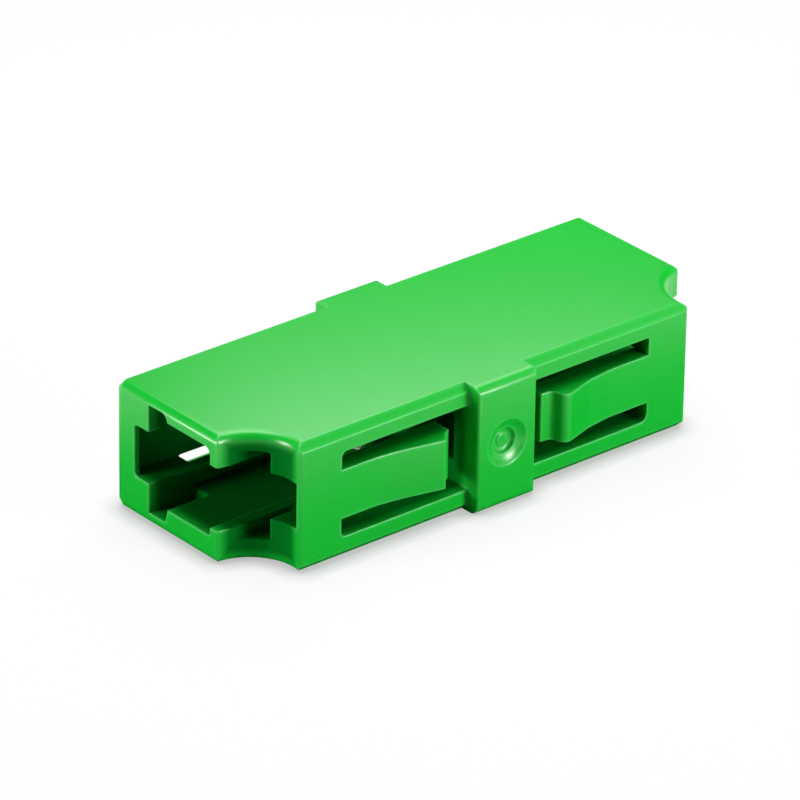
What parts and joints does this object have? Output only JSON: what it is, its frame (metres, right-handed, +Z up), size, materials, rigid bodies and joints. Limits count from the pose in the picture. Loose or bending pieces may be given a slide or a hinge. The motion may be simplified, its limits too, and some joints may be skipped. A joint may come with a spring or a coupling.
{
  "type": "sc fibre adapter",
  "caption": "Green one-piece fibre adapter with a plug port at each end, spring arms and stop lugs on both sides and finger scoops at the corners of one side.",
  "frame": {"origin": "centre of the footprint on the underside: mid-length, middle of the width over the lugs, lowest face", "axes": "+X from the port seen at the front towards the rear port, +Y from the side wall with the finger scoops towards the plain side wall, +Z up through the closed top"},
  "size_m": [0.034, 0.0144, 0.0079],
  "materials": {
    "green_plastic": "satin",
    "holder_plastic": "matte",
    "sleeve_ceramic": "polished"
  },
  "bodies": {
    "root": {"housing": "green_plastic", "sleeve_holder_front": "holder_plastic", "sleeve_holder_rear": "holder_plastic", "alignment_sleeve": "sleeve_ceramic"}
  },
  "joints": []
}
